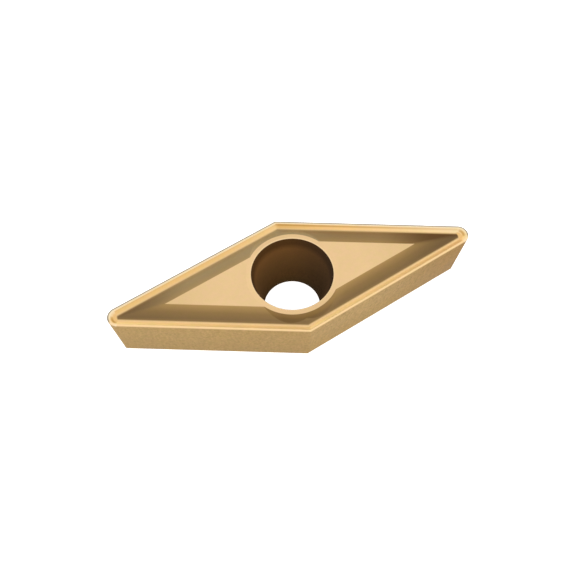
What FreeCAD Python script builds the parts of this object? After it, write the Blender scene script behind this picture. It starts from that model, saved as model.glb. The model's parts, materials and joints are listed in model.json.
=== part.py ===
import FreeCAD, Part
import math
import os
from FreeCAD import Vector

# Indexable turning insert: a 35 degree rhombus of sintered carbide with a raised
# chip breaker on top and a bell-mouthed screw hole.  Millimetres and degrees.
# The origin is on the hole's axis in the seating face, with +X towards one nose.

# Outline and flanks
NOSE_ANGLE = 35.0            # between the two sides that meet at a nose
INSCRIBED_DIAMETER = 9.525   # circle that touches all four cutting edges
EDGE_HEIGHT = 4.76           # seating face to cutting edge
RELIEF_ANGLE = 7.0           # the flanks lean in below the cutting edge
NOSE_RADIUS = 0.8            # at the cutting edge; the flank below it is a cone
WIDE_CORNER_RADIUS = 0.15
HONE_RADIUS = 0.05           # rounding of the cutting edge

# Chip groove, measured square to a side, from the cutting edge inwards
LAND_WIDTH = 0.18
RAKE_WIDTH = 0.42
FLOOR_WIDTH = 0.05
GROOVE_DEPTH = 0.16          # groove floor below the cutting edge

# Island inside the groove
SLOPE_WIDTH = 1.21
SLOPE_BULGE = 0.02           # height of the slope's arc over its chord
ISLAND_RISE = 0.214          # island's flat top above the cutting edge
TIP_INSET = 0.8              # from the end of the nose to the island's blunt tip
TIP_ANGLE = 45.0             # of the small facet that ends the tip

# Boss ring around the screw hole, its top level with the island's
RING_DIAMETER = 6.975
SKIRT_ANGLE = 34.0           # of the ring's conical flank, from the horizontal

# Screw hole, from its mouth downwards
MOUTH_DIAMETER = 6.16        # before the lip is rounded
LIP_RADIUS = 0.1
MOUTH_BAND_DEPTH = 0.7
MOUTH_BAND_ANGLE = 15.0      # of the band, from the hole's axis
SEAT_ANGLE = 24.0            # from the axis, where the long curved seat leaves the band
BORE_DIAMETER = 4.4

# Worked out from the sizes above
HALF_ANGLE = math.radians(NOSE_ANGLE / 2)
EDGE_OFFSET = INSCRIBED_DIAMETER / 2
BASE_OFFSET = EDGE_OFFSET - EDGE_HEIGHT * math.tan(math.radians(RELIEF_ANGLE))
CENTRE_OFFSET = EDGE_OFFSET - NOSE_RADIUS
NOSE_CENTRE_X = CENTRE_OFFSET / math.sin(HALF_ANGLE)
LENGTH = 2 * (NOSE_CENTRE_X + NOSE_RADIUS)
LAND_OFFSET = EDGE_OFFSET - LAND_WIDTH
RAKE_OFFSET = LAND_OFFSET - RAKE_WIDTH
SLOPE_FOOT_OFFSET = RAKE_OFFSET - FLOOR_WIDTH
ISLAND_OFFSET = SLOPE_FOOT_OFFSET - SLOPE_WIDTH
FLOOR_HEIGHT = EDGE_HEIGHT - GROOVE_DEPTH
TOP_HEIGHT = EDGE_HEIGHT + ISLAND_RISE
TURN_OF_NORMAL = math.pi / 2 - HALF_ANGLE
UP = Vector(0, 0, 1)
ON_AXIS = Vector(0, 0, 0)


def at(offset, height):
    """A point of a section; offset is the distance from the hole's axis, square to a side."""
    return Vector(offset, 0, height)


def line(start, end):
    return Part.LineSegment(start, end).toShape()


def arc(start, middle, end):
    return Part.Arc(start, middle, end).toShape()


def closed_face(edges):
    """Face of a section whose last point is joined to its first by the edges given."""
    return Part.Face(Part.Wire(edges))


def section(outer_edges, bottom, top):
    """Face between the heights bottom and top, from beyond the far side to the edges given."""
    first = outer_edges[0].Vertexes[0].Point
    last = outer_edges[-1].Vertexes[-1].Point
    far = -2 * EDGE_OFFSET
    closing = [
        line(last, at(far, top)),
        line(at(far, top), at(far, bottom)),
        line(at(far, bottom), first),
    ]
    return closed_face(outer_edges + closing)


def body_section():
    """The leaning flank, from the seating face up to the cutting edge."""
    flank = line(at(BASE_OFFSET, 0), at(EDGE_OFFSET, EDGE_HEIGHT))
    return section([flank], 0, EDGE_HEIGHT)


def groove_section():
    """What is pressed out inside the land: the hollow rake, level at its foot, and the floor."""
    rise_radius = (RAKE_WIDTH ** 2 + GROOVE_DEPTH ** 2) / (2 * GROOVE_DEPTH)
    half_turn = math.asin(RAKE_WIDTH / rise_radius) / 2
    middle = at(
        RAKE_OFFSET + rise_radius * math.sin(half_turn),
        FLOOR_HEIGHT + rise_radius * (1 - math.cos(half_turn)),
    )
    rake = arc(at(RAKE_OFFSET, FLOOR_HEIGHT), middle, at(LAND_OFFSET, EDGE_HEIGHT))
    wall = line(at(LAND_OFFSET, EDGE_HEIGHT), at(LAND_OFFSET, TOP_HEIGHT))
    return section([rake, wall], FLOOR_HEIGHT, TOP_HEIGHT)


def island_section():
    """The island: rooted in the body, with slopes that bulge a little, and a flat top."""
    foot = at(SLOPE_FOOT_OFFSET, FLOOR_HEIGHT)
    shoulder = at(ISLAND_OFFSET, TOP_HEIGHT)
    chord = shoulder - foot
    outward = Vector(chord.z, 0, -chord.x).normalize()
    middle = foot + chord * 0.5 + outward * SLOPE_BULGE
    root_height = EDGE_HEIGHT / 2
    root = line(at(SLOPE_FOOT_OFFSET, root_height), foot)
    return section([root, arc(foot, middle, shoulder)], root_height, TOP_HEIGHT)


def side_directions():
    """Turn about Z of the outward normal of each of the four sides, in radians."""
    return [
        TURN_OF_NORMAL,
        math.pi - TURN_OF_NORMAL,
        math.pi + TURN_OF_NORMAL,
        -TURN_OF_NORMAL,
    ]


def trimmed_by_sides(face):
    """Rhombic block, its corners still sharp, whose section square to every side is the face."""
    reach = 2 * LENGTH
    bars = []
    for turn in side_directions():
        bar = face.translated(Vector(0, -reach / 2, 0)).extrude(Vector(0, reach, 0))
        bar.rotate(ON_AXIS, UP, math.degrees(turn))
        bars.append(bar)
    block = bars[0]
    for bar in bars[1:]:
        block = block.common(bar)
    return block


def nose_sector(height):
    """Wedge of space around the +X nose, between the planes where its rounding starts."""
    reach = LENGTH
    tip = Vector(NOSE_CENTRE_X, 0, 0)
    corners = [tip]
    for turn in (-TURN_OF_NORMAL, 0, TURN_OF_NORMAL):
        corners.append(tip + Vector(reach * math.cos(turn), reach * math.sin(turn), 0))
    corners.append(tip)
    return Part.Face(Part.makePolygon(corners)).extrude(Vector(0, 0, height))


def turned_at_nose(face):
    """The face turned about the +X nose's axis, which stands at the offset of its centre."""
    beyond_axis = Part.makeBox(LENGTH, LENGTH, 4 * EDGE_HEIGHT)
    beyond_axis.translate(Vector(0, -LENGTH / 2, -EDGE_HEIGHT))
    outer_part = face.translated(Vector(-CENTRE_OFFSET, 0, 0)).common(beyond_axis)
    outer_part.rotate(ON_AXIS, UP, 180)
    turned = outer_part.Faces[0].revolve(ON_AXIS, UP, 360)
    return turned.translated(Vector(NOSE_CENTRE_X, 0, 0))


def rounded_at_noses(block, face):
    """The block with both sharp noses replaced by its section turned about the nose's axis."""
    waste = nose_sector(2 * EDGE_HEIGHT).cut(turned_at_nose(face))
    return block.cut(waste).cut(waste.mirror(ON_AXIS, Vector(1, 0, 0)))


def edges_where(shape, test):
    return [edge for edge in shape.Edges if test(edge)]


def is_wide_corner(edge):
    on_centre_plane = all(abs(v.X) < 1e-4 for v in edge.Vertexes)
    return on_centre_plane and edge.BoundBox.ZLength > EDGE_HEIGHT / 2


def is_cutting_edge(edge):
    box = edge.BoundBox
    return box.ZLength < 1e-4 and abs(box.ZMax - EDGE_HEIGHT) < 1e-4


def is_hole_mouth(edge):
    box = edge.BoundBox
    at_top = box.ZLength < 1e-4 and abs(box.ZMax - TOP_HEIGHT) < 1e-4
    return at_top and abs(box.XLength - MOUTH_DIAMETER) < 1e-3


def body():
    """The rhombus with leaning flanks, conical noses, eased wide corners and honed edge."""
    face = body_section()
    blank = rounded_at_noses(trimmed_by_sides(face), face)
    blank = blank.makeFillet(WIDE_CORNER_RADIUS, edges_where(blank, is_wide_corner))
    return blank.makeFillet(HONE_RADIUS, edges_where(blank, is_cutting_edge))


def groove():
    """Space of the chip groove and of all that is pressed down inside it."""
    face = groove_section()
    return rounded_at_noses(trimmed_by_sides(face), face)


def island():
    """Raised rhombus inside the groove, with a blunt facet at each of its two tips."""
    block = trimmed_by_sides(island_section())
    tip_x = LENGTH / 2 - TIP_INSET
    run = (TOP_HEIGHT - FLOOR_HEIGHT) / math.tan(math.radians(TIP_ANGLE))
    outline = [
        Vector(-tip_x, 0, 0),
        Vector(tip_x, 0, 0),
        Vector(tip_x, 0, FLOOR_HEIGHT),
        Vector(tip_x - run, 0, TOP_HEIGHT),
        Vector(-tip_x + run, 0, TOP_HEIGHT),
        Vector(-tip_x, 0, FLOOR_HEIGHT),
        Vector(-tip_x, 0, 0),
    ]
    width = 4 * EDGE_OFFSET
    between_tips = Part.Face(Part.makePolygon(outline)).extrude(Vector(0, width, 0))
    return block.common(between_tips.translated(Vector(0, -width / 2, 0)))


def boss_ring():
    """Ring around the hole: a cone that flares down from the level of the island's top."""
    root_height = FLOOR_HEIGHT - GROOVE_DEPTH
    flare = (TOP_HEIGHT - root_height) / math.tan(math.radians(SKIRT_ANGLE))
    radius = RING_DIAMETER / 2
    cone = Part.makeCone(radius + flare, radius, TOP_HEIGHT - root_height)
    return cone.translated(Vector(0, 0, root_height))


def screw_hole():
    """Turned space of the hole: mouth band, screw seat curving into the bore, and bore."""
    mouth_radius = MOUTH_DIAMETER / 2
    bore_radius = BORE_DIAMETER / 2
    slant = math.tan(math.radians(MOUTH_BAND_ANGLE))
    above = TOP_HEIGHT - EDGE_HEIGHT
    overshoot = at(mouth_radius + above * slant, TOP_HEIGHT + above)
    band_foot = at(mouth_radius - MOUTH_BAND_DEPTH * slant, TOP_HEIGHT - MOUTH_BAND_DEPTH)
    start = math.radians(SEAT_ANGLE)
    seat_radius = (band_foot.x - bore_radius) / (1 - math.cos(start))
    seat_centre = at(bore_radius + seat_radius, band_foot.z - seat_radius * math.sin(start))
    middle = at(
        seat_centre.x - seat_radius * math.cos(start / 2),
        seat_centre.z + seat_radius * math.sin(start / 2),
    )
    seat_foot = at(bore_radius, seat_centre.z)
    bottom = -above
    profile = closed_face([
        line(at(0, bottom), at(bore_radius, bottom)),
        line(at(bore_radius, bottom), seat_foot),
        arc(seat_foot, middle, band_foot),
        line(band_foot, overshoot),
        line(overshoot, at(0, overshoot.z)),
        line(at(0, overshoot.z), at(0, bottom)),
    ])
    return profile.revolve(ON_AXIS, UP, 360)


def insert_body():
    top_form = island().fuse(boss_ring()).removeSplitter()
    pressed = body().cut(groove()).fuse(top_form).removeSplitter()
    drilled = pressed.cut(screw_hole())
    return drilled.makeFillet(LIP_RADIUS, edges_where(drilled, is_hole_mouth))


def as_one_solid(shape):
    return shape.Solids[0] if len(shape.Solids) == 1 else shape


os.makedirs("parts", exist_ok=True)
finished = as_one_solid(insert_body())
finished.exportStep("parts/insert_body.step")
box = finished.BoundBox
print("solids", len(finished.Solids), "faces", len(finished.Faces), "valid", finished.isValid())
print("length %.3f width %.3f height %.3f" % (box.XLength, box.YLength, box.ZLength))
print("volume %.3f cubic mm" % finished.Volume)
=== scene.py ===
import json
import math

import bmesh
import bpy
from mathutils import Matrix, Vector


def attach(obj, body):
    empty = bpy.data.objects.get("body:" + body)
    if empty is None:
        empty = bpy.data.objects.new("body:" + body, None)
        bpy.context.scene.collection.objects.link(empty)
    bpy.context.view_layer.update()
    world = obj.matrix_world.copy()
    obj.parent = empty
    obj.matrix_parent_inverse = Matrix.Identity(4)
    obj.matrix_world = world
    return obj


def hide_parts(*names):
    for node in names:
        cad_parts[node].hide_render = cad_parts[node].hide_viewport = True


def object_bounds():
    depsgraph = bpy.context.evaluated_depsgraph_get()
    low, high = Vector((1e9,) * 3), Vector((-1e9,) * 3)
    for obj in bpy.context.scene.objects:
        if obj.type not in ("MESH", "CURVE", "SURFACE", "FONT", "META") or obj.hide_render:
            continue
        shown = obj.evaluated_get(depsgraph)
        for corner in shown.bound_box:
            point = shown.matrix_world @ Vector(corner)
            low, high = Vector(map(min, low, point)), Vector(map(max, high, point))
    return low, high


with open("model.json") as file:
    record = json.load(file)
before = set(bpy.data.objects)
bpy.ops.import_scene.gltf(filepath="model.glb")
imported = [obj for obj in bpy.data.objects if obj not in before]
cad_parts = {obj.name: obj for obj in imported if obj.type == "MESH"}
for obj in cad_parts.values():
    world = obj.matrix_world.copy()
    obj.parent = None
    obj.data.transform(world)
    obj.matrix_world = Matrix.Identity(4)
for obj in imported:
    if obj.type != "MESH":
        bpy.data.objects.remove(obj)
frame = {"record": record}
cad_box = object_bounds()

# The insert is modelled in millimetres and brought to metres when it is finished.
MM = 0.001
MOUNTS = {mount["name"]: mount for mount in frame["record"]["mounts"]}

# Heights and the outline, from the frame where it has them
TOP_HEIGHT = cad_box[1].z / MM
BORE_RADIUS = MOUNTS["screw_hole"]["dims"]["r_mm"]
RELIEF = math.asin(-MOUNTS["flank_front_right"]["axis"][2])
HALF_ANGLE = math.radians(17.5)
INSCRIBED_RADIUS = 4.7625
NOSE_RADIUS = 0.8
ISLAND_RISE = 0.214
EDGE_HEIGHT = TOP_HEIGHT - ISLAND_RISE
BASE_INSET = EDGE_HEIGHT * math.tan(RELIEF)
NOSE_CENTRE = (INSCRIBED_RADIUS - NOSE_RADIUS) / math.sin(HALF_ANGLE)
WIDE_CORNER = INSCRIBED_RADIUS / math.cos(HALF_ANGLE)
WIDE_CORNER_RADIUS = 0.15
HONE_RADIUS = 0.05
HONE_REACH = HONE_RADIUS / math.tan((math.pi / 2 - RELIEF) / 2)
BASE_BREAK = 0.02

# Chip groove and island, square to a side, from the cutting edge inwards
LAND_WIDTH = 0.18
RAKE_WIDTH = 0.42
GROOVE_DEPTH = 0.16
FLOOR_WIDTH = 0.05
GROOVE_WIDTH = LAND_WIDTH + RAKE_WIDTH + FLOOR_WIDTH
SLOPE_WIDTH = 1.21
SLOPE_BULGE = 0.02

# Share of the slope that lies below the island's blunt tips
TIP_SHARE = 0.12

# Ring and screw hole
RING_RADIUS = 3.4875
RIM_EASE = 0.018
SKIRT_ANGLE = math.radians(34)
MOUTH_RADIUS = 3.08
LIP_RADIUS = 0.1
BAND_DEPTH = 0.7
BAND_ANGLE = math.radians(15)
SEAT_ANGLE = math.radians(24)

# How finely the round forms are stepped
NOSE_STEPS = 144
CORNER_STEPS = 4
HONE_STEPS = 6
BREAK_STEPS = 3
RAKE_STEPS = 10
SLOPE_STEPS = 6
HOLE_STEPS = 180
RIM_STEPS = 3
SEAT_STEPS = 14
LIP_STEPS = 6


def deselect_everything():
    for thing in bpy.context.selected_objects:
        thing.select_set(False)


def make_active(thing):
    deselect_everything()
    thing.select_set(True)
    bpy.context.view_layer.objects.active = thing


def pick(kind, test):
    """Select the vertices, edges or faces of the mesh in edit mode that pass the test."""
    bpy.ops.mesh.select_mode(type=kind)
    bpy.ops.mesh.select_all(action="DESELECT")
    mesh = bpy.context.object.data
    form = bmesh.from_edit_mesh(mesh)
    parts = {"VERT": form.verts, "EDGE": form.edges, "FACE": form.faces}[kind]
    for part in parts:
        if test(part):
            part.select_set(True)
    form.select_flush_mode()
    bmesh.update_edit_mesh(mesh)


def near(value, wanted, slack=2e-3):
    return abs(value - wanted) < slack


def all_verts(part, test):
    return all(test(vert.co) for vert in part.verts)


def inset(thickness, depth=0.0):
    bpy.ops.mesh.inset(thickness=thickness, depth=depth, use_even_offset=True, use_boundary=True)


def extrude_up(height):
    bpy.ops.mesh.extrude_region_move(TRANSFORM_OT_translate={"value": (0, 0, height)})


def collapse_to(point):
    """Draw the selected vertices together at a point and weld them."""
    bpy.ops.transform.resize(value=(0, 0, 0), center_override=point)
    bpy.ops.mesh.remove_doubles(threshold=1e-3)


def is_top_face(face):
    """The one large face in the middle of the top, which still has to be shaped."""
    return face.normal.z > 0.99 and face.calc_area() > 10


def blank_outline():
    """Face at the height of the cutting edge: two nose arcs joined at the wide corners."""
    bpy.ops.mesh.primitive_circle_add(vertices=NOSE_STEPS, radius=NOSE_RADIUS, location=(0, 0, 0))
    bpy.context.object.name = "coated_insert"
    bpy.ops.object.mode_set(mode="EDIT")
    bpy.ops.transform.translate(value=(NOSE_CENTRE, 0, EDGE_HEIGHT))
    tangent_x = NOSE_CENTRE + NOSE_RADIUS * math.sin(HALF_ANGLE)
    tangent_y = NOSE_RADIUS * math.cos(HALF_ANGLE)
    pick("VERT", lambda vert: vert.co.x < tangent_x - 1e-3)
    bpy.ops.mesh.delete(type="VERT")
    bpy.ops.mesh.select_all(action="SELECT")
    bpy.ops.mesh.duplicate()
    bpy.ops.transform.rotate(value=math.pi, orient_axis="Z", center_override=(0, 0, 0))
    for side in (1, -1):
        pick("VERT", lambda vert: near(vert.co.y, side * tangent_y))
        bpy.ops.mesh.edge_face_add()
        bpy.ops.mesh.subdivide(number_cuts=1)
        pick("VERT", lambda vert: near(vert.co.x, 0) and vert.co.y * side > 0)
        bpy.ops.transform.translate(value=(0, side * (WIDE_CORNER - tangent_y), 0))
    bpy.ops.mesh.select_all(action="SELECT")
    bpy.ops.mesh.edge_face_add()


def press_flanks():
    """Leaning flanks down to the seating face, then the eased wide corners and the honed edge."""
    inset(BASE_INSET, -EDGE_HEIGHT)
    pick("EDGE", lambda edge: edge.is_boundary)
    bpy.ops.mesh.edge_face_add()
    bpy.ops.mesh.select_all(action="SELECT")
    bpy.ops.mesh.normals_make_consistent(inside=False)
    pick("EDGE", lambda edge: all_verts(edge, lambda co: near(co.x, 0)) and edge.calc_length() > 1)
    ease = WIDE_CORNER_RADIUS * math.tan(HALF_ANGLE)
    bpy.ops.mesh.bevel(offset=ease, offset_type="OFFSET", segments=CORNER_STEPS, affect="EDGES")
    pick("EDGE", lambda edge: all_verts(edge, lambda co: near(co.z, EDGE_HEIGHT)))
    bpy.ops.mesh.bevel(offset=HONE_REACH, offset_type="OFFSET", segments=HONE_STEPS, affect="EDGES")
    pick("EDGE", lambda edge: all_verts(edge, lambda co: near(co.z, 0)))
    bpy.ops.mesh.bevel(offset=BASE_BREAK, offset_type="OFFSET", segments=BREAK_STEPS, affect="EDGES")


def press_groove():
    """Land, hollow rake and groove floor, each ring set in from the one before."""
    pick("FACE", is_top_face)
    inset(LAND_WIDTH - HONE_REACH)
    for side in (1, -1):
        corner = Vector((0, side * (WIDE_CORNER - LAND_WIDTH / math.cos(HALF_ANGLE)), EDGE_HEIGHT))
        pick("VERT", lambda vert: (vert.co - corner).length < 0.01)
        collapse_to(corner)
    pick("FACE", is_top_face)
    radius = (RAKE_WIDTH ** 2 + GROOVE_DEPTH ** 2) / (2 * GROOVE_DEPTH)
    whole_turn = math.asin(RAKE_WIDTH / radius)
    along, deep = 0.0, 0.0
    for step in range(1, RAKE_STEPS + 1):
        turn = whole_turn * (1 - step / RAKE_STEPS)
        next_along = RAKE_WIDTH - radius * math.sin(turn)
        next_deep = GROOVE_DEPTH - radius * (1 - math.cos(turn))
        inset(next_along - along, deep - next_deep)
        along, deep = next_along, next_deep
    inset(FLOOR_WIDTH)


def slope_point(share):
    """Inset from the slope's foot and height over the floor, at a share of its slightly bulging arc."""
    rise = GROOVE_DEPTH + ISLAND_RISE
    chord = math.hypot(SLOPE_WIDTH, rise)
    radius = (chord ** 2 / 4 + SLOPE_BULGE ** 2) / (2 * SLOPE_BULGE)
    half = math.asin(chord / 2 / radius)
    lean = math.atan2(rise, SLOPE_WIDTH)
    centre_along = SLOPE_WIDTH / 2 + (radius - SLOPE_BULGE) * math.sin(lean)
    centre_height = rise / 2 - (radius - SLOPE_BULGE) * math.cos(lean)
    turn = lean + half - 2 * half * share
    return centre_along - radius * math.sin(turn), centre_height + radius * math.cos(turn)


def raise_island():
    """The island inside the groove: a blunt facet at each tip, slopes and a flat top."""
    foot_offset = INSCRIBED_RADIUS - GROOVE_WIDTH
    floor_height = EDGE_HEIGHT - GROOVE_DEPTH
    sharp_tip = foot_offset / math.sin(HALF_ANGLE)
    half_tip = (sharp_tip - NOSE_CENTRE) * math.tan(HALF_ANGLE)
    inner_arc = NOSE_RADIUS - GROOVE_WIDTH + FLOOR_WIDTH / 2
    for end in (1, -1):
        nose = Vector((end * NOSE_CENTRE, 0, floor_height))
        for side in (1, -1):
            pick("VERT", lambda vert: vert.co.x * end > NOSE_CENTRE and vert.co.y * side > -1e-4
                 and (vert.co - nose).xy.length < inner_arc)
            collapse_to(nose + Vector((0, side * half_tip, 0)))
    along, height = slope_point(TIP_SHARE)
    pick("FACE", is_top_face)
    inset(along, height)
    tip_x = (foot_offset - along) / math.sin(HALF_ANGLE)
    for end in (1, -1):
        tip = Vector((end * tip_x, 0, floor_height + height))
        pick("VERT", lambda vert: vert.co.x * end > WIDE_CORNER and near(vert.co.z, tip.z, 1e-3)
             and abs(vert.co.y) < half_tip)
        collapse_to(tip)
    pick("FACE", is_top_face)
    for step in range(1, SLOPE_STEPS + 1):
        next_along, next_height = slope_point(TIP_SHARE + (1 - TIP_SHARE) * step / SLOPE_STEPS)
        inset(next_along - along, next_height - height)
        along, height = next_along, next_height


def turned(name, rings):
    """Closed solid of rings stacked up the hole's axis, each given as (radius, height)."""
    first_radius, first_height = rings[0]
    bpy.ops.mesh.primitive_circle_add(
        vertices=HOLE_STEPS, radius=first_radius, fill_type="NGON", location=(0, 0, 0))
    made = bpy.context.object
    made.name = name
    bpy.ops.object.mode_set(mode="EDIT")
    bpy.ops.transform.translate(value=(0, 0, first_height))
    radius, height = first_radius, first_height
    for next_radius, next_height in rings[1:]:
        extrude_up(next_height - height)
        ratio = next_radius / radius
        bpy.ops.transform.resize(value=(ratio, ratio, 1), center_override=(0, 0, next_height))
        radius, height = next_radius, next_height
    bpy.ops.mesh.select_all(action="SELECT")
    bpy.ops.mesh.normals_make_consistent(inside=False)
    bpy.ops.object.mode_set(mode="OBJECT")
    return made


def boss_rings():
    """The ring's conical skirt from its foot, sunk under the groove, up to its eased rim."""
    foot_height = EDGE_HEIGHT - 2 * GROOVE_DEPTH
    flare = (TOP_HEIGHT - foot_height) / math.tan(SKIRT_ANGLE)
    rings = [(RING_RADIUS + flare, foot_height)]
    rim_radius = RIM_EASE / math.tan(SKIRT_ANGLE / 2)
    for step in range(RIM_STEPS + 1):
        turn = SKIRT_ANGLE * (1 - step / RIM_STEPS)
        rings.append((RING_RADIUS - RIM_EASE + rim_radius * math.sin(turn),
                      TOP_HEIGHT - rim_radius * (1 - math.cos(turn))))
    return rings


def hole_rings():
    """Bore, curved screw seat, steep mouth band and rounded lip, from below upwards."""
    band_foot = MOUTH_RADIUS - BAND_DEPTH * math.tan(BAND_ANGLE)
    seat_radius = (band_foot - BORE_RADIUS) / (1 - math.cos(SEAT_ANGLE))
    seat_foot = TOP_HEIGHT - BAND_DEPTH - seat_radius * math.sin(SEAT_ANGLE)
    rings = [(BORE_RADIUS + BASE_BREAK * 2, -BASE_BREAK), (BORE_RADIUS, BASE_BREAK)]
    for step in range(SEAT_STEPS + 1):
        turn = SEAT_ANGLE * step / SEAT_STEPS
        rings.append((BORE_RADIUS + seat_radius * (1 - math.cos(turn)),
                      seat_foot + seat_radius * math.sin(turn)))
    lip_turn = math.pi / 2 - BAND_ANGLE
    lip_end = MOUTH_RADIUS + LIP_RADIUS * math.tan(lip_turn / 2)
    for step in range(LIP_STEPS + 1):
        turn = BAND_ANGLE + lip_turn * step / LIP_STEPS
        rings.append((lip_end - LIP_RADIUS * math.cos(turn),
                      TOP_HEIGHT - LIP_RADIUS * (1 - math.sin(turn))))

    # One more ring well above the top, so that the cut opens the hole
    rings.append((lip_end + 0.02, TOP_HEIGHT + 0.3))
    return rings


def combine(solid, other, operation):
    cut = solid.modifiers.new(operation.lower(), "BOOLEAN")
    cut.operation = operation
    cut.object = other
    cut.solver = "EXACT"
    make_active(solid)
    bpy.ops.object.modifier_apply(modifier=cut.name)
    bpy.data.objects.remove(other)


def model_insert():
    deselect_everything()
    blank_outline()
    press_flanks()
    press_groove()
    raise_island()
    bpy.ops.object.mode_set(mode="OBJECT")
    insert = bpy.context.object
    combine(insert, turned("ring", boss_rings()), "UNION")
    combine(insert, turned("hole", hole_rings()), "DIFFERENCE")
    make_active(insert)
    bpy.ops.object.mode_set(mode="EDIT")
    bpy.ops.mesh.select_all(action="SELECT")
    bpy.ops.mesh.remove_doubles(threshold=1e-4)
    bpy.ops.mesh.normals_make_consistent(inside=False)
    bpy.ops.transform.resize(value=(MM, MM, MM), center_override=(0, 0, 0))
    bpy.ops.object.mode_set(mode="OBJECT")
    bpy.ops.object.shade_smooth_by_angle(angle=math.radians(20))
    return insert


insert = model_insert()
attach(insert, "root")
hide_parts("insert_body")


class Reading:
    """A number that varies over a surface; sums and products of it add their Math nodes."""

    def __init__(self, finish, socket):
        self.finish = finish
        self.socket = socket

    def __add__(self, other):
        return self.finish.math("ADD", self, other)

    def __radd__(self, other):
        return self.finish.math("ADD", other, self)

    def __sub__(self, other):
        return self.finish.math("SUBTRACT", self, other)

    def __rsub__(self, other):
        return self.finish.math("SUBTRACT", other, self)

    def __mul__(self, other):
        return self.finish.math("MULTIPLY", self, other)

    def __rmul__(self, other):
        return self.finish.math("MULTIPLY", other, self)

    def __truediv__(self, other):
        return self.finish.math("DIVIDE", self, other)

    def __pow__(self, other):
        return self.finish.math("POWER", self, other)

    def __abs__(self):
        return self.finish.math("ABSOLUTE", self)


class Finish:
    """A node tree that is written as expressions."""

    def __init__(self, owner):
        owner.use_nodes = True
        self.tree = owner.node_tree
        self.tree.nodes.clear()

    def node(self, kind, settings, values, output=0):
        """Add a node. Values that vary are linked to its sockets and the others are set on them."""
        made = self.tree.nodes.new(kind)
        for name, setting in settings.items():
            if name == "stops":
                self.set_stops(made.color_ramp, setting)
            else:
                setattr(made, name, setting)
        for name, value in values.items():
            socket = made.inputs[name]
            if isinstance(value, Reading):
                self.tree.links.new(value.socket, socket)
            else:
                socket.default_value = value
        return Reading(self, made.outputs[output]) if made.outputs else made

    def set_stops(self, ramp, stops):
        while len(ramp.elements) < len(stops):
            ramp.elements.new(1)
        for element, (position, colour) in zip(ramp.elements, stops):
            element.position = position
            element.color = colour

    def math(self, operation, *values):
        return self.node("ShaderNodeMath", {"operation": operation}, dict(enumerate(values)))

    def vector(self, operation, values, output="Vector"):
        return self.node("ShaderNodeVectorMath", {"operation": operation}, values, output)

    def length(self, first, second):
        return (first * first + second * second) ** 0.5

    def step(self, value, low, high):
        """Smooth rise from 0 to 1 as the value goes from low to high, or a fall if low is above high."""
        return self.node("ShaderNodeMapRange", {"interpolation_type": "SMOOTHSTEP"},
                         {"Value": value, "From Min": low, "From Max": high})

    def band(self, value, start, full, fade, end):
        """Smooth rise from 0 to 1 between start and full, and back to 0 between fade and end."""
        return self.step(value, start, full) * self.step(value, end, fade)

    def ramp(self, value, stops):
        """Colour along a value, with stops given as (value, colour)."""
        first = stops[0][0]
        span = stops[-1][0] - first
        shares = [((place - first) / span, colour) for place, colour in stops]
        return self.node("ShaderNodeValToRGB", {"stops": shares}, {"Fac": (value - first) / span})

    def mix(self, share, below, above, blend="MIX"):
        return self.node("ShaderNodeMix", {"data_type": "RGBA", "blend_type": blend},
                         {"Factor": share, 6: below, 7: above}, output=2)

    def noise(self, place, scale, detail, roughness=0.5):
        return self.node("ShaderNodeTexNoise", {},
                         {"Vector": place, "Scale": scale, "Detail": detail, "Roughness": roughness})


def tone(red, green, blue):
    """Linear colour of a tone given as it shows on a screen, 0 to 255."""
    return tuple(((value / 255 + 0.055) / 1.055) ** 2.4 for value in (red, green, blue)) + (1.0,)


# Tones of the coating, face by face, many of them holding painted light and shade
UNDERSIDE_GOLD = tone(226, 188, 132)
FLANK_FOOT_GOLD = tone(233, 191, 113)
FLANK_RIGHT_FOOT_GOLD = tone(236, 191, 103)
FLANK_TOP_GOLD = tone(240, 200, 129)
FLANK_SHADE = tone(220, 172, 94)
ISLAND_GOLD = tone(235, 201, 150)
ISLAND_TIP_GOLD = tone(228, 195, 143)
RING_GOLD = tone(240, 205, 153)
RING_SHADE = tone(231, 196, 146)
LIP_PAINTED_HIGHLIGHT = tone(246, 214, 165)
SKIRT_PAINTED_LIGHT = tone(190, 153, 99)
SLOPE_PAINTED_SHEEN = tone(172, 152, 112)
SLOPE_AMBER = tone(140, 98, 30)
SLOPE_PAINTED_SHADE = tone(102, 83, 60)
SLOPE_UMBER = tone(88, 55, 20)
RAKE_PALE = tone(255, 230, 176)
RAKE_AMBER = tone(220, 173, 105)
RAKE_LINE = tone(210, 164, 90)
TIP_GOLD = tone(240, 198, 134)
NOSE_PAINTED_HIGHLIGHT = tone(255, 238, 200)
NOSE_PAINTED_SHADE = tone(218, 175, 100)
REAR_EDGE_PAINTED_REFLECTION = tone(150, 136, 115)
HOLE_SHADE = tone(50, 43, 37)

# Shares of red, green and blue in patches of the coating that are a shade rosier or greener
ROSY_TINT = (1.01, 0.995, 1.02, 1.0)
GREEN_TINT = (0.993, 1.003, 0.97, 1.0)

# Half the width over which tones change at the insert's middle lines
SEAM = 0.2

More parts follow.
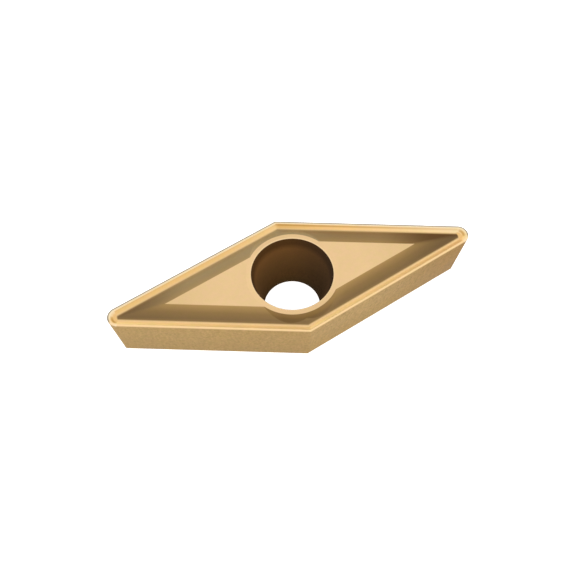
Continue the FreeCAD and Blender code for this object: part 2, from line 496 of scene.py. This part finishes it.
# Tones across the chip groove, by the inset from the cutting edge, with painted shade on the slopes and
# painted light and shade that differ between the front and rear sides
FRONT_GROOVE_TONES = [
    (0.0, tone(231, 193, 137)),
    (0.07, tone(252, 217, 162)),
    (0.19, tone(254, 220, 164)),
    (0.25, tone(255, 234, 175)),
    (0.34, tone(255, 233, 176)),
    (0.50, tone(250, 221, 166)),
    (0.60, tone(238, 200, 142)),
    (0.70, tone(144, 117, 76)),
    (0.85, tone(135, 109, 72)),
    (1.30, tone(148, 119, 75)),
    (1.86, tone(181, 146, 92)),
]
REAR_GROOVE_TONES = [
    (0.0, tone(250, 234, 202)),
    (0.14, tone(252, 232, 194)),
    (0.22, tone(254, 231, 184)),
    (0.27, tone(242, 204, 139)),
    (0.34, tone(245, 208, 142)),
    (0.50, tone(244, 208, 145)),
    (0.59, tone(227, 192, 138)),
    (0.71, tone(167, 140, 94)),
    (0.85, tone(149, 122, 81)),
    (1.30, tone(151, 124, 81)),
    (1.86, tone(172, 141, 91)),
]

# Tones of painted light on the rear right rake, by the distance along it from the wide corner
RAKE_TONES = [
    (0.0, tone(234, 194, 124)),
    (4.0, tone(250, 211, 146)),
    (8.0, tone(255, 221, 164)),
    (13.0, tone(255, 232, 186)),
]

# Tones down the hole's wall, by height, painted darker towards the bottom of the bore and on the steep
# mouth band as shade over the hole's real shade
HOLE_TONES = [
    (0.0, tone(70, 50, 28)),
    (0.5, tone(80, 58, 31)),
    (1.2, tone(99, 70, 38)),
    (2.0, tone(114, 82, 46)),
    (2.8, tone(122, 88, 49)),
    (4.0, tone(128, 89, 48)),
    (4.45, tone(95, 64, 33)),
    (4.9, tone(93, 63, 33)),
]

# Tones of the ring's skirt, from left to right, with painted shade making the front darker than the rear
FRONT_SKIRT_TONES = [
    (-3.4, tone(172, 140, 88)),
    (-2.6, tone(140, 110, 65)),
    (-1.6, tone(124, 95, 55)),
    (0.5, tone(134, 104, 60)),
    (1.8, tone(151, 119, 73)),
    (3.2, tone(172, 138, 86)),
]
REAR_SKIRT_TONES = [
    (-2.6, tone(181, 157, 113)),
    (-1.0, tone(167, 145, 103)),
    (1.4, tone(169, 148, 106)),
]


class Spot:
    """Where a point of the surface lies on the insert, in millimetres and in shares of 0 to 1."""

    def __init__(self, finish):
        coordinates = finish.node("ShaderNodeTexCoord", {}, {}, output="Object")
        self.place = finish.vector("SCALE", {0: coordinates, "Scale": 1 / MM})
        self.x, self.y, self.z = (
            finish.node("ShaderNodeSeparateXYZ", {}, {0: self.place}, output=axis) for axis in "XYZ")

        # Depth under the top, distance from the short diagonal and distance from the hole's axis
        self.down = TOP_HEIGHT - self.z
        self.along = abs(self.x)
        self.radius = finish.length(self.x, self.y)

        # Which side of the insert's middle lines, with rear and right towards +Y and +X
        self.rear = finish.step(self.y, -SEAM, SEAM)
        self.front = 1.0 - self.rear
        self.right = finish.step(self.x, -SEAM, SEAM)
        self.left = 1.0 - self.right
        self.rear_right = self.rear * self.right
        self.left_of_corner = self.left * finish.step(self.along, 4.5, 2.0)

        # Inset from the cutting edge, square to a side or towards a nose's centre
        across = abs(self.y)
        past_centre = self.along - NOSE_CENTRE
        from_centre = finish.length(past_centre, self.y)
        side_inset = INSCRIBED_RADIUS - (self.along * math.sin(HALF_ANGLE) + across * math.cos(HALF_ANGLE))
        nose_inset = NOSE_RADIUS - from_centre
        self.in_nose = finish.math(
            "GREATER_THAN", past_centre * math.cos(HALF_ANGLE), across * math.sin(HALF_ANGLE))
        self.inset = side_inset + self.in_nose * (nose_inset - side_inset)

        # The flanks fall steeply from the edge and the groove gently, which tells them apart.
        self.underside = finish.step(self.z, 0.03, 0.01)
        below_edge = finish.step(EDGE_HEIGHT - self.z - 3 * self.inset, 0.02, 0.05)
        self.on_flank = below_edge * (1.0 - self.underside)
        self.on_rake = finish.band(self.inset, 0.16, 0.26, 0.46, 0.60) * (1.0 - self.on_flank)
        self.on_slope = finish.step(self.inset, 0.56, 0.78)
        within_mouth = finish.step(self.radius, MOUTH_RADIUS + 0.05, MOUTH_RADIUS)
        self.in_hole = within_mouth * finish.step(self.down, 0.024, 0.044) * (1.0 - self.underside)

        # The part of each nose that is turned away from the light, front left and rear right
        turned_away = (past_centre + (0.85 * self.right - 0.45) * self.y) / from_centre
        beyond_centre = finish.step(past_centre / from_centre, 0.1, 0.6)
        self.nose_turn = finish.step(turned_away, 0.6, 1.09) * beyond_centre


def rake_tones(finish, spot, tones):
    """Lighter and darker stretches of the rakes, over the groove's tones."""
    # Painted light that grows towards the rear right nose, and a painted darker line of shade beside the
    # land
    tones = finish.mix(0.95 * spot.on_rake * spot.rear_right, tones, finish.ramp(spot.x, RAKE_TONES))
    dark_line = finish.band(spot.inset, 0.21, 0.27, 0.30, 0.38)
    tones = finish.mix(dark_line * spot.rear_right * (0.85 - 0.05 * spot.x), tones, RAKE_LINE)

    # A painted amber line of shade along each front rake, deeper towards its right end
    amber_line = spot.front * finish.band(spot.inset, 0.14, 0.24, 0.34, 0.54)
    from_left_end = spot.x + NOSE_CENTRE * spot.left
    short_of_nose = finish.step(spot.along - 0.22 * spot.right, NOSE_CENTRE + 0.12, NOSE_CENTRE - 0.3)
    deepening = (0.033 + 0.011 * spot.right) * from_left_end
    tones = finish.mix(amber_line * short_of_nose * deepening, tones, RAKE_AMBER)

    # Paler rakes to the left of the wide corners
    fading = finish.step(spot.along, 5.0, 0.5)
    return finish.mix(0.3 * spot.on_rake * spot.left * fading, tones, RAKE_PALE)


def slope_tones(finish, spot, tones):
    """What varies along the island's slopes, over the groove's tones."""
    # A pale painted sheen of reflected light on the rear left slope, thinner higher up
    high_up = finish.step(spot.inset, 1.1, 1.7)
    painted_sheen = spot.on_slope * spot.rear * finish.step(spot.along, 13.0, 6.0) * finish.step(spot.x, 5.0, 0.0)
    tones = finish.mix((0.6 + 0.2 * spot.left_of_corner - 0.3 * high_up) * painted_sheen, tones, SLOPE_PAINTED_SHEEN)

    # Warmer tones on the right, towards the nose at the rear and high up on both sides
    towards_right = finish.step(spot.x, 5.0, 9.0)
    tones = finish.mix(0.12 * spot.on_slope * spot.rear_right * towards_right, tones, SLOPE_AMBER)
    tones = finish.mix((0.06 + 0.05 * spot.rear) * high_up * spot.right, tones, SLOPE_UMBER)

    # Painted shade at the slopes' dark ends towards the noses, greyer in front and umber at the rear,
    # where it sets in sooner
    reach = spot.along + (0.2 * spot.along - 2.2) * spot.rear + (0.1 * spot.along + 0.3) * spot.rear_right
    dark_end = finish.step(reach, 7.0, 13.0) * (0.38 + 0.30 * spot.rear + 0.012 * spot.x)
    umber = 0.22 * spot.right + 0.5 * spot.rear + 0.28 * spot.rear_right
    darkest = finish.mix(umber, SLOPE_PAINTED_SHADE, SLOPE_UMBER)
    return finish.mix(spot.on_slope * dark_end, tones, darkest)


def nose_tones(finish, spot, tones):
    """Painted cream highlight round each nose, with a painted amber crescent of shade in it, and the
    golden floor at the tips.
    """
    nose_highlight = spot.in_nose * finish.step(spot.inset, 0.46, 0.26) * (1.0 - 0.6 * spot.nose_turn)
    tones = finish.mix((0.7 - 0.2 * spot.right) * nose_highlight, tones, NOSE_PAINTED_HIGHLIGHT)
    # The amber crescent is painted shade where the nose turns away from the light
    crescent = spot.nose_turn * finish.band(spot.inset, 0.22, 0.33, 0.38, 0.50)
    tones = finish.mix(0.85 * crescent, tones, NOSE_PAINTED_SHADE)
    reach = spot.along - 0.075 + 0.085 * spot.right
    past_tip = finish.step(reach, NOSE_CENTRE - 0.06, NOSE_CENTRE + 0.06)
    return finish.mix(finish.step(spot.inset, 0.46, 0.54) * past_tip, tones, TIP_GOLD)


def groove_tones(finish, spot):
    """The honed edge, the land, the groove's rake and floor, and the island's slopes."""
    foot_shift = 0.022 * spot.right - 0.007 - 0.02 * spot.left_of_corner
    rear_inset = spot.inset + foot_shift * finish.step(spot.inset, 0.40, 0.55)
    front = finish.ramp(spot.inset, FRONT_GROOVE_TONES)
    rear = finish.ramp(rear_inset, REAR_GROOVE_TONES)
    tones = finish.mix(spot.rear, front, rear)
    tones = rake_tones(finish, spot, tones)
    tones = slope_tones(finish, spot, tones)
    tones = nose_tones(finish, spot, tones)
    # Painted grey reflection along the honed edge, on the rear sides only
    rear_edge = finish.step(spot.inset, 0.17, 0.06) * finish.step(spot.y, -0.45, -0.1)
    return finish.mix(rear_edge, tones, REAR_EDGE_PAINTED_REFLECTION)


def skirt_tones(finish, spot):
    """The ring's conical skirt, which in front has painted light under the rim and painted shade in the
    cove below.
    """
    front = finish.ramp(spot.x, FRONT_SKIRT_TONES)
    rear = finish.ramp(spot.x, REAR_SKIRT_TONES)
    tones = finish.mix(spot.rear, front, rear)
    under_rim = finish.step(spot.down, 0.20, 0.04)
    # Painted light on the front of the skirt, just under the rim
    tones = finish.mix(0.17 * spot.front * under_rim, tones, SKIRT_PAINTED_LIGHT)
    # Painted shadow in the front cove at the skirt's foot, deeper on the right
    in_cove = finish.step(spot.down, 0.14, 0.25)
    return finish.mix((0.28 + 0.1 * spot.right) * spot.front * in_cove, tones, SLOPE_PAINTED_SHADE)


def ring_tones(finish, spot):
    """The flat ring, with painted highlights at its ends, painted shade in front and behind, and a painted
    highlight on the lip inside it.
    """
    endways = (spot.x * spot.x - spot.y * spot.y) / (spot.radius * spot.radius)
    light = (0.5 + 0.5 * endways) * (1.0 - 0.35 * spot.right)
    tones = finish.mix(light, RING_SHADE, RING_GOLD)
    return finish.mix(finish.step(spot.radius, 3.20, 3.12), tones, LIP_PAINTED_HIGHLIGHT)


def top_tones(finish, spot):
    """The groove and what stands in it: the ring's skirt, the flat island and the ring."""
    tones = groove_tones(finish, spot)
    # Painted light round the front right of the skirt
    round_skirt = spot.front * spot.right * finish.step(spot.radius, 4.25, 3.75)
    tones = finish.mix(0.12 * round_skirt, tones, SKIRT_PAINTED_LIGHT)
    skirt_reach = RING_RADIUS + spot.down / math.tan(SKIRT_ANGLE)
    on_skirt = finish.step(spot.radius - skirt_reach, 0.05, 0.0)
    tones = finish.mix(on_skirt, tones, skirt_tones(finish, spot))
    island = finish.mix(finish.step(spot.along, 5.0, 9.5), ISLAND_GOLD, ISLAND_TIP_GOLD)
    rear_shift = (0.012 + 0.018 * spot.right) * spot.rear
    on_island = finish.step(spot.inset - rear_shift, 1.83, 1.88) * finish.step(spot.down, 0.019, 0.006)
    tones = finish.mix(on_island, tones, island)
    on_ring = finish.step(spot.radius + 0.03 * spot.rear, RING_RADIUS + 0.02, RING_RADIUS - 0.02)
    return finish.mix(on_ring, tones, ring_tones(finish, spot))


def flank_tones(finish, spot):
    """The flanks, lighter towards the edge, with painted shade towards the foot, near the wide corner and
    on the far right.
    """
    foot = finish.mix(spot.right, FLANK_FOOT_GOLD, FLANK_RIGHT_FOOT_GOLD)
    tones = finish.mix(finish.step(spot.z, 0.3, 4.2), foot, FLANK_TOP_GOLD)
    tones = finish.mix(finish.step(spot.x, 5.0, 14.0), tones, FLANK_SHADE)
    near_corner = finish.step(spot.x, -11.0, -1.0) * spot.left
    return finish.mix(0.13 * near_corner, tones, FLANK_SHADE)


def hole_tones(finish, spot):
    """Wall of the hole from the bore up to the mouth band, with painted shade on the right and in front.
    """
    tones = finish.ramp(spot.z, HOLE_TONES)
    tones = finish.mix(0.46 * finish.step(spot.x, 0.0, 3.0), tones, HOLE_SHADE)
    return finish.mix(0.5 * finish.step(spot.y, 2.6, -1.2), tones, HOLE_SHADE)


def golden_coating():
    """Hard coating over the sintered carbide, whose tone changes from face to face with painted light and
    shade.
    """
    material = bpy.data.materials.new("golden_coating")
    finish = Finish(material)
    spot = Spot(finish)
    tones = finish.mix(spot.on_flank, top_tones(finish, spot), flank_tones(finish, spot))
    tones = finish.mix(spot.in_hole, tones, hole_tones(finish, spot))
    tones = finish.mix(spot.underside, tones, UNDERSIDE_GOLD)

    # Patches that are a shade rosier or greener
    patch = finish.noise(spot.place, scale=2.2, detail=1.0)
    tint = finish.mix(finish.step(patch, 0.35, 0.65), ROSY_TINT, GREEN_TINT)
    tones = finish.mix(1.0, tones, tint, "MULTIPLY")

    # Sintered grain, cloudy patches, and faint upright streaks that grinding left on the flanks
    grain = finish.noise(spot.place, scale=5.0, detail=3.0, roughness=0.6)
    cloud = finish.noise(spot.place, scale=0.7, detail=2.0)
    upright = finish.vector("MULTIPLY", {0: spot.place, 1: (6.5, 6.5, 0.8)})
    streak = finish.noise(upright, scale=1.0, detail=2.0)
    speckle = 0.42 * (grain - 0.5) + 0.18 * (streak - 0.5)
    coarse = 0.15 + (0.85 + 0.4 * spot.right) * spot.on_flank
    shade = 1.0 + coarse * speckle + 0.10 * (cloud - 0.5)
    tones = finish.vector("SCALE", {0: tones, "Scale": shade})

    # On the flanks the bright grains are also paler, and the dark ones deeper in colour.
    tones = finish.vector("ADD", {0: tones, 1: 0.22 * spot.on_flank * speckle})

    bump = finish.node("ShaderNodeBump", {}, {
        "Strength": 0.35, "Distance": 0.01 * MM, "Height": (0.2 + 0.8 * spot.on_flank) * grain})
    surface = finish.node("ShaderNodeBsdfPrincipled", {}, {
        "Base Color": tones,
        "Metallic": 1.0 - spot.in_hole,
        "Roughness": 0.40 + 0.3 * spot.in_hole + (0.42 - 0.2 * spot.rear) * spot.on_rake + 0.08 * cloud,
        "Specular IOR Level": 0.0,
        "Normal": bump,
    })
    finish.node("ShaderNodeOutputMaterial", {}, {"Surface": surface})
    return material


insert.data.materials.append(golden_coating())

# Camera: turn, tilt and roll in degrees, and its place from the origin along its own axes
CAMERA_TURN = -15.2315
CAMERA_TILT = 29.9564
CAMERA_ROLL = -0.3754
CAMERA_PLACE = Vector((-0.3355, 1.3803, 71.5962)) * MM
LENS = 56.533
SENSOR = 36.0

# Middle of the studio's light half, high up behind the insert
SKY_CENTRE = Vector((0.06, 0.5, 0.86)).normalized()


def set_camera():
    data = bpy.data.cameras.new("camera")
    data.sensor_width = SENSOR
    data.lens = LENS
    data.clip_start = 0.001
    data.clip_end = 10
    camera = bpy.data.objects.new("camera", data)
    bpy.context.scene.collection.objects.link(camera)
    turn = (Matrix.Rotation(math.radians(CAMERA_TURN), 4, "Z")
            @ Matrix.Rotation(math.radians(CAMERA_TILT), 4, "X")
            @ Matrix.Rotation(math.radians(CAMERA_ROLL), 4, "Z"))
    camera.matrix_world = Matrix.Translation(turn @ CAMERA_PLACE) @ turn
    bpy.context.scene.camera = camera


def grey(level):
    return (level, level, level, 1.0)


def set_studio():
    """White backdrop, whose light on the insert grows duller away from the sky's centre."""
    world = bpy.data.worlds.new("studio")
    bpy.context.scene.world = world
    finish = Finish(world)
    direction = finish.node("ShaderNodeTexCoord", {}, {}, output="Generated")
    facing = finish.vector("DOT_PRODUCT", {0: direction, 1: SKY_CENTRE}, output="Value")
    light = finish.ramp(facing, [
        (-1.0, grey(0.55)), (-0.6, grey(0.55)), (-0.05, grey(0.98)), (1.0, grey(1.0))])
    seen = finish.node("ShaderNodeLightPath", {}, {}, output="Is Camera Ray")
    backdrop = finish.mix(seen, light, grey(1.0))
    sky = finish.node("ShaderNodeBackground", {}, {"Color": backdrop, "Strength": 1.0})
    finish.node("ShaderNodeOutputWorld", {}, {"Surface": sky})


def lay_floor():
    """Pale table that glows softly and isn't mirrored in the insert."""
    deselect_everything()
    bpy.ops.mesh.primitive_plane_add(size=2)
    floor = bpy.context.object
    floor.name = "floor"
    material = bpy.data.materials.new("light_table")
    finish = Finish(material)
    surface = finish.node("ShaderNodeBsdfPrincipled", {}, {
        "Base Color": grey(0.8), "Roughness": 0.9, "Emission Color": grey(1.0), "Emission Strength": 0.95})
    finish.node("ShaderNodeOutputMaterial", {}, {"Surface": surface})
    floor.data.materials.append(material)
    floor.visible_glossy = False


set_camera()
set_studio()
lay_floor()
bpy.context.scene.view_settings.view_transform = "Standard"
